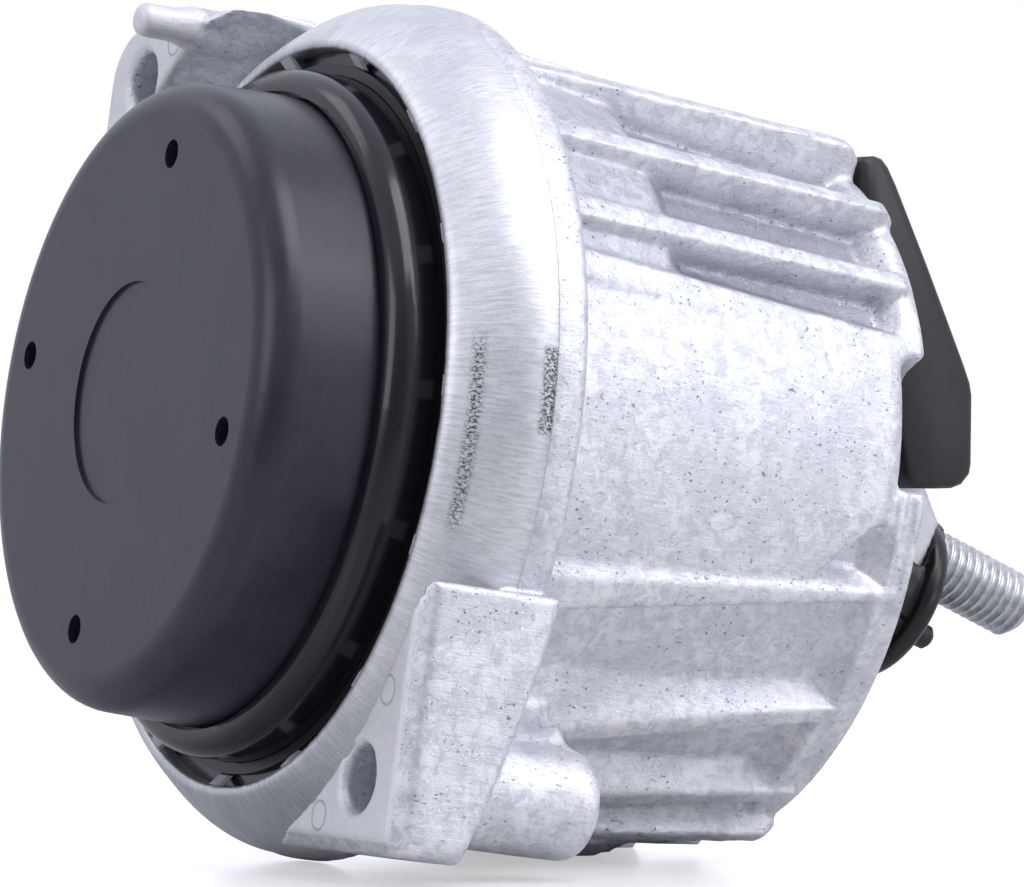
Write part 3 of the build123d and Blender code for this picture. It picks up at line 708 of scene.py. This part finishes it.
# Stud: a steel stud pressed into the core, with a rolled M10 thread, zinc plated. Its lengths are along
# its own axis from the seat; the plain shank below the thread is hidden in the core's bore.
THREAD_R = 0.0049
THREAD_ROOT_R = 0.00412
THREAD_PITCH = 0.0015
STUD_TIP = 0.0232
THREAD_START = 0.0040
SHANK_IN = -0.014
SHANK_R = 0.0045
SHANK_BEVEL = 0.0004
THREAD_RELIEF = 0.0006
TIP_BEVEL = 0.0016
TIP_SLOPE = 1.1
RIDGE_TOP = 1.25
FLANK_SLOPE = 2.875
THREAD_AROUND = 48
THREAD_ROWS = 10
ZINC_GREY = (0.50, 0.51, 0.54)
ZINC_PALE = (0.72, 0.73, 0.76)


def thread_ridge(phase):
    """Height of the thread over one pitch, from 0 in the flat root to 1 on the flat crest: RIDGE_TOP less
    FLANK_SLOPE times the distance from the crest's middle, cut off at 0 and at 1."""
    return np.clip(RIDGE_TOP - FLANK_SLOPE * np.abs(phase - 0.5), 0.0, 1.0)


rows = int((STUD_TIP - THREAD_START) / THREAD_PITCH * THREAD_ROWS)
along = np.linspace(THREAD_START, STUD_TIP, rows)[:, None]
round_angle = np.linspace(0, 2 * np.pi, THREAD_AROUND, endpoint=False)[None, :]
phase = (along / THREAD_PITCH - round_angle / (2 * np.pi)) % 1.0
ridge = thread_ridge(phase) * hill(along, THREAD_START, THREAD_START + THREAD_PITCH)
tip_cone = THREAD_R - TIP_BEVEL + (STUD_TIP - along) * TIP_SLOPE
thread_r = np.minimum(THREAD_ROOT_R + (THREAD_R - THREAD_ROOT_R) * ridge, tip_cone)
shank = np.array(((SHANK_IN, SHANK_R - SHANK_BEVEL),
                  (SHANK_IN + SHANK_BEVEL, SHANK_R),
                  (THREAD_START - THREAD_RELIEF, SHANK_R)))
along = np.vstack((shank[:, :1], along))
stud_r = np.vstack((np.repeat(shank[:, 1:], THREAD_AROUND, axis=1), thread_r))
side_way = np.array((1.0, 0.0, 0.0))
up_way = np.cross(side_way, STUD_WAY)
outward = np.cos(round_angle)[..., None] * side_way + np.sin(round_angle)[..., None] * up_way
rings = STUD_ROOT + along[..., None] * STUD_WAY + stud_r[..., None] * outward
stud_mesh = loops_mesh("threaded_stud", rings)
shade_smooth(stud_mesh)
stud = bpy.data.objects.new("threaded_stud", stud_mesh)
scene.collection.objects.link(stud)
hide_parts("stud")
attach(stud, "root")

zinc = Finish("zinc_steel")
bloom = zinc.noise(0.9, detail=4.0, roughness=0.65)
zinc_color = zinc.mix(zinc.step(bloom, 0.35, 0.65), ZINC_GREY, ZINC_PALE)
zinc.paint(zinc_color, zinc.spread(bloom, 0.30, 0.48), 0.75)
stud_mesh.materials.append(zinc.material)


# Splash shield: a disc with a lip, moulded in black rubber and pushed over the stud's seat. It follows
# the seat back along the stud, and is a little smaller round its own axis than in the CAD form.
SHIELD_SHRINK = 12.6 / 13.6
SHIELD_VOXEL = 0.00042
SHIELD_PASSES = 3
SHIELD_LIMIT = 60000
SHIELD_BLACK = (0.006, 0.006, 0.007)
RUBBER_BLOOM = 1.6


def shield_moved(points):
    """The disc pushed back along the stud and made smaller round its own axis."""
    along = (points - CAD_ROOT) @ STUD_WAY
    on_axis = CAD_ROOT + along[:, None] * STUD_WAY
    return on_axis + (points - on_axis) * SHIELD_SHRINK - STUD_WAY * SEAT_BACK


def rubber(name, color, low, high):
    """Black rubber with a faint bloom: up to RUBBER_BLOOM times the colour, roughness from low to high."""
    made = Finish(name)
    cloud = made.noise(0.25, detail=3.0)
    bloomed = tuple(c * RUBBER_BLOOM for c in color)
    made.paint(made.mix(cloud, color, bloomed), made.spread(cloud, low, high), 0.0, ior=1.45)
    made.bump(made.noise(2.5, detail=2.0), 0.03, 0.5)
    return made.material


shield = soft_edged("splash_shield", "lipped_shield", SHIELD_VOXEL, SHIELD_PASSES, SHIELD_LIMIT,
                    reshape=shield_moved)
shield.data.materials.append(rubber("shield_rubber", SHIELD_BLACK, 0.22, 0.34))


# Rebound stop: a charcoal rubber bar moulded across the lug, which leans on the housing's rear shoulder.
# It is one outline of (y, z) in mm, straight across, with rounded ends of (distance in m, inset in mm).
STOP_HALF = 0.020
STOP_LINE = ((81.3, 47.9), (82.1, 48.8), (83.9, 49.2), (85.2, 49.0), (86.4, 48.0), (88.1, 45.7),
             (94.6, 35.7), (99.0, 28.7), (103.1, 22.1), (104.4, 19.8), (105.0, 18.0), (105.8, 12.0),
             (106.3, 8.2), (106.2, 6.8), (105.1, 5.2), (103.5, 4.4), (100.5, 3.9), (97.3, 3.5),
             (95.4, 5.1), (93.2, 11.0), (90.0, 20.0), (84.4, 33.5), (82.6, 42.0))
STOP_ENDS = ((0.0, 1.1), (0.00035, 0.45), (0.0011, 0.0))
STOP_CHARCOAL = (0.020, 0.019, 0.023)
stations = [(-STOP_HALF + in_x, inset * MM) for in_x, inset in STOP_ENDS]
stations += [(STOP_HALF - in_x, inset * MM) for in_x, inset in reversed(STOP_ENDS)]
stop_mesh = bar_along_x(np.array(STOP_LINE) * MM, stations)
shade_smooth(stop_mesh)
stop_mesh.materials.append(rubber("black_rubber", STOP_CHARCOAL, 0.34, 0.50))
stop = bpy.data.objects.new("stop_bar", stop_mesh)
scene.collection.objects.link(stop)
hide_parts("rebound_stop")
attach(stop, "root")


# Base cap: a shallow cup moulded in black glass-filled nylon, pressed into the collar. It keeps its CAD
# form; its skin is a little cloudy, with faint upright streaks from rubbing.
CAP_BLACK = (0.019, 0.020, 0.033)
CAP_GREY = (0.029, 0.030, 0.045)
moulded = Finish("cap_plastic")
bloom = moulded.noise(0.07, detail=4.0, roughness=0.6)
streaks = moulded.noise(0.8, moulded.place((1.0, 1.0, 0.12)), detail=4.0, roughness=0.7)
haze = moulded.math("ADD", moulded.times(bloom, 0.7), moulded.times(streaks, 0.3))
cap_color = moulded.mix(moulded.step(haze, 0.40, 0.58), CAP_BLACK, CAP_GREY)
moulded.paint(cap_color, moulded.spread(haze, 0.22, 0.40), 0.0, ior=1.45)
moulded.bump(streaks, 0.02, 0.4)


# Retaining ring: spring steel, stamped and bent, which grips the collar's bore with its teeth. One steel in
# two
#  painted tones: the teeth, outside TOOTH_R in mm, painted light as if lit, and the flat band near black as
#      painted shade.
TOOTH_R = (49.7, 50.0)
SHADED_BAND_BLACK = (0.012, 0.012, 0.014)
LIT_TOOTH_PAINT = (0.86, 0.87, 0.91)
toothed = Finish("spring_steel")
# painted light on the teeth over painted shade on the band
painted_lit_teeth = toothed.step(toothed.axes()[0], *TOOTH_R)
toothed.paint(toothed.mix(painted_lit_teeth, SHADED_BAND_BLACK, LIT_TOOTH_PAINT), 0.4, 0.0)


# Clamp ring, locating pin and the pieces inside: the ring is smooth black plastic, moulded, whose bead
# stands round the cap's foot. The pin is blackened, and of the pieces inside almost nothing shows, so
# that one dull black serves for all of them. They keep their CAD forms, like the cap and its ring.
RING_BLACK = (0.008, 0.008, 0.012)
DULL_BLACK = (0.02, 0.02, 0.022)
ring_plastic = Finish("ring_plastic")
ring_plastic.paint(RING_BLACK, 0.17, 0.0, ior=1.48)
dull = Finish("inner_rubber")
dull.paint(DULL_BLACK, 0.5, 0.0)
FINISHES = {
    "base_cap": moulded.material,
    "clamp_ring": ring_plastic.material,
    "retaining_ring": toothed.material,
}
for name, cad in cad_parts.items():
    cad.data.materials.clear()
    cad.data.materials.append(FINISHES.get(name, dull.material))
